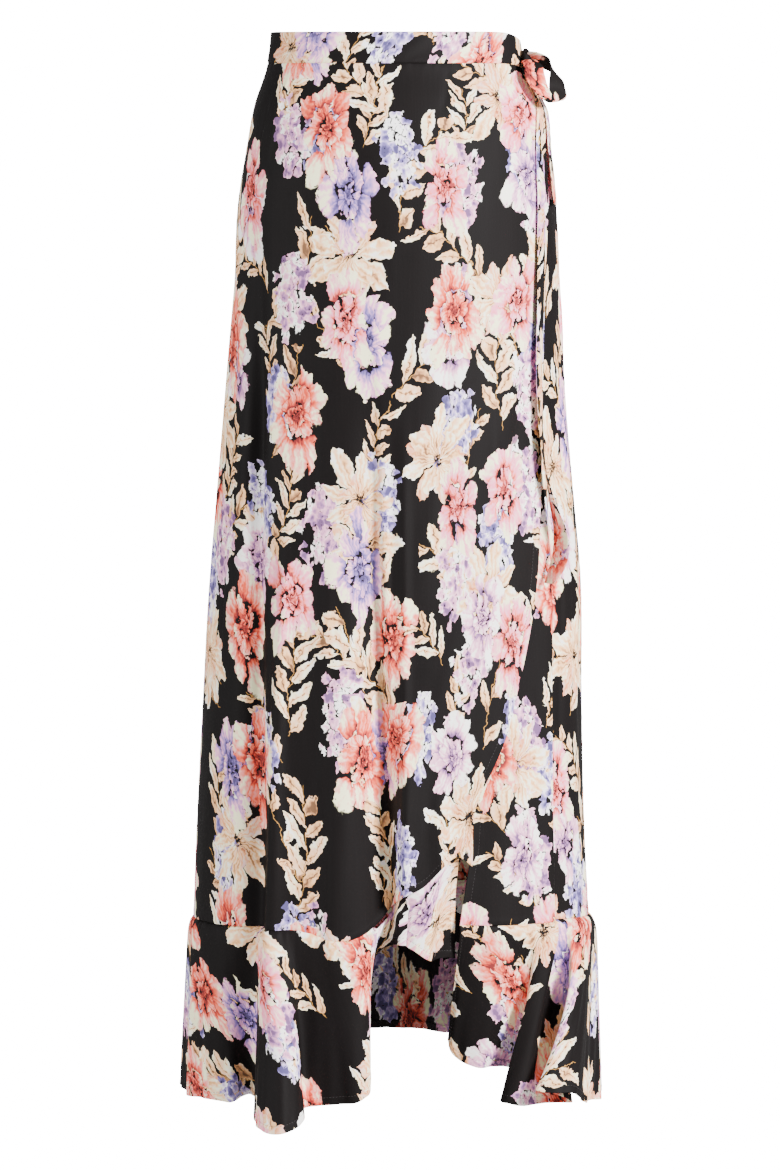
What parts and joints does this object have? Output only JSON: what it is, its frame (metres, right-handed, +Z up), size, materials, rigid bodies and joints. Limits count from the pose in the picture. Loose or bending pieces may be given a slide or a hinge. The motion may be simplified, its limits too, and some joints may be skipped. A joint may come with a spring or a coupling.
{
  "type": "wrap skirt",
  "caption": "Long wrap skirt with a narrow band, a half bow at the left hip, a curved wrap edge falling in a cascade, and a flounce round the hem.",
  "frame": {"origin": "middle of the waist, at half the height of the band", "axes": "+X towards the wearer's left, +Y towards the back, +Z up the body"},
  "size_m": [0.4185, 0.3797, 1.0369],
  "materials": {
    "print_cloth": "matte printed viscose, large flowers on black",
    "band_cloth": "the same cloth, folded double",
    "tie_cloth": "the same cloth, sewn into a narrow tube"
  },
  "bodies": {
    "root": {"waistband": "band_cloth", "front_overlay": "print_cloth", "front_underlap": "print_cloth", "back_panel": "print_cloth", "flounce_overlay": "print_cloth", "flounce_underlap": "print_cloth", "flounce_back": "print_cloth", "tie_knot": "tie_cloth", "tie_loop": "tie_cloth", "tie_tail_long": "tie_cloth", "tie_tail_short": "tie_cloth"}
  },
  "joints": []
}
